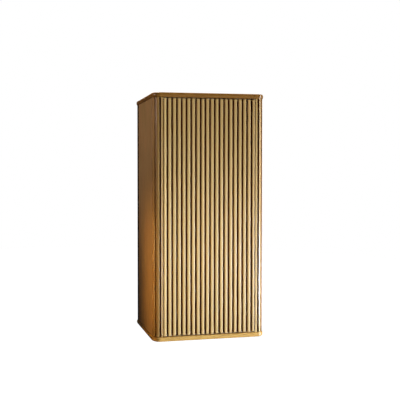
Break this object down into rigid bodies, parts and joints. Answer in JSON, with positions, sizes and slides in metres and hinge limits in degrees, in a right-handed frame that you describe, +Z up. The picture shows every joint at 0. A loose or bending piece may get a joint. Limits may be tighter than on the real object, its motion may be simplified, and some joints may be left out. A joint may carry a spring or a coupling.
{
  "type": "wall-mounted bathroom cabinet",
  "caption": "Tall wall cabinet with rounded fluted corners and a fluted push-to-open door, closed by a cap board above and below, with shelves behind the door.",
  "frame": {"origin": "middle of the back board's rear face, on the wall plane", "axes": "+Y into the wall, -Y is the front, +Z up, +X to the right of someone facing the door"},
  "size_m": [0.4, 0.22, 0.835],
  "materials": {
    "oak_front": "satin oak veneer",
    "oak_side": "satin oak veneer",
    "dark_board": "matt dark board",
    "inner_board": "satin light board",
    "nickel_steel": "nickel plated",
    "light_plastic": "matt",
    "clear_rubber": "soft matt"
  },
  "bodies": {
    "cabinet": {"top_cap": "oak_front", "bottom_cap": "oak_front", "side_panel_left": "oak_side", "side_panel_right": "oak_side", "corner_post_left": "oak_front", "corner_post_right": "oak_front", "back_board": "dark_board", "shelf_upper": "inner_board", "shelf_lower": "inner_board", "shelf_pin_upper_left_front": "nickel_steel", "shelf_pin_upper_left_rear": "nickel_steel", "shelf_pin_upper_right_front": "nickel_steel", "shelf_pin_upper_right_rear": "nickel_steel", "shelf_pin_lower_left_front": "nickel_steel", "shelf_pin_lower_left_rear": "nickel_steel", "shelf_pin_lower_right_front": "nickel_steel", "shelf_pin_lower_right_rear": "nickel_steel", "hinge_upper_arm": "nickel_steel", "hinge_upper_plate": "nickel_steel", "hinge_lower_arm": "nickel_steel", "hinge_lower_plate": "nickel_steel", "push_latch_housing": "light_plastic", "hanger_housing_left": "light_plastic", "hanger_housing_right": "light_plastic", "hanger_hook_left": "nickel_steel", "hanger_hook_right": "nickel_steel", "wall_plate_left": "nickel_steel", "wall_plate_right": "nickel_steel"},
    "door": {"door_backing": "dark_board", "door_slat_01": "oak_front", "door_slat_02": "oak_front", "door_slat_03": "oak_front", "door_slat_04": "oak_front", "door_slat_05": "oak_front", "door_slat_06": "oak_front", "door_slat_07": "oak_front", "door_slat_08": "oak_front", "door_slat_09": "oak_front", "door_slat_10": "oak_front", "door_slat_11": "oak_front", "door_slat_12": "oak_front", "door_slat_13": "oak_front", "door_slat_14": "oak_front", "door_slat_15": "oak_front", "door_slat_16": "oak_front", "door_slat_17": "oak_front", "door_slat_18": "oak_front", "door_slat_19": "oak_front", "door_slat_20": "oak_front", "hinge_upper_cup": "nickel_steel", "hinge_upper_pin": "nickel_steel", "hinge_lower_cup": "nickel_steel", "hinge_lower_pin": "nickel_steel", "strike_plate": "nickel_steel", "door_bumper_upper": "clear_rubber", "door_bumper_lower": "clear_rubber"},
    "latch_plunger": {"push_latch_plunger": "light_plastic"}
  },
  "joints": [
    {"name": "door_hinge", "type": "hinge", "parent": "cabinet", "child": "door", "pos_m": [0.1418, -0.2055, 0], "axis": [0, 0, 1], "range_deg": [0, 95]},
    {"name": "push_latch", "type": "slide", "parent": "cabinet", "child": "latch_plunger", "axis": [0, 1, 0], "range_m": [0, 0.004], "stiffness_N_per_m": 600, "springref_m": -0.004}
  ]
}
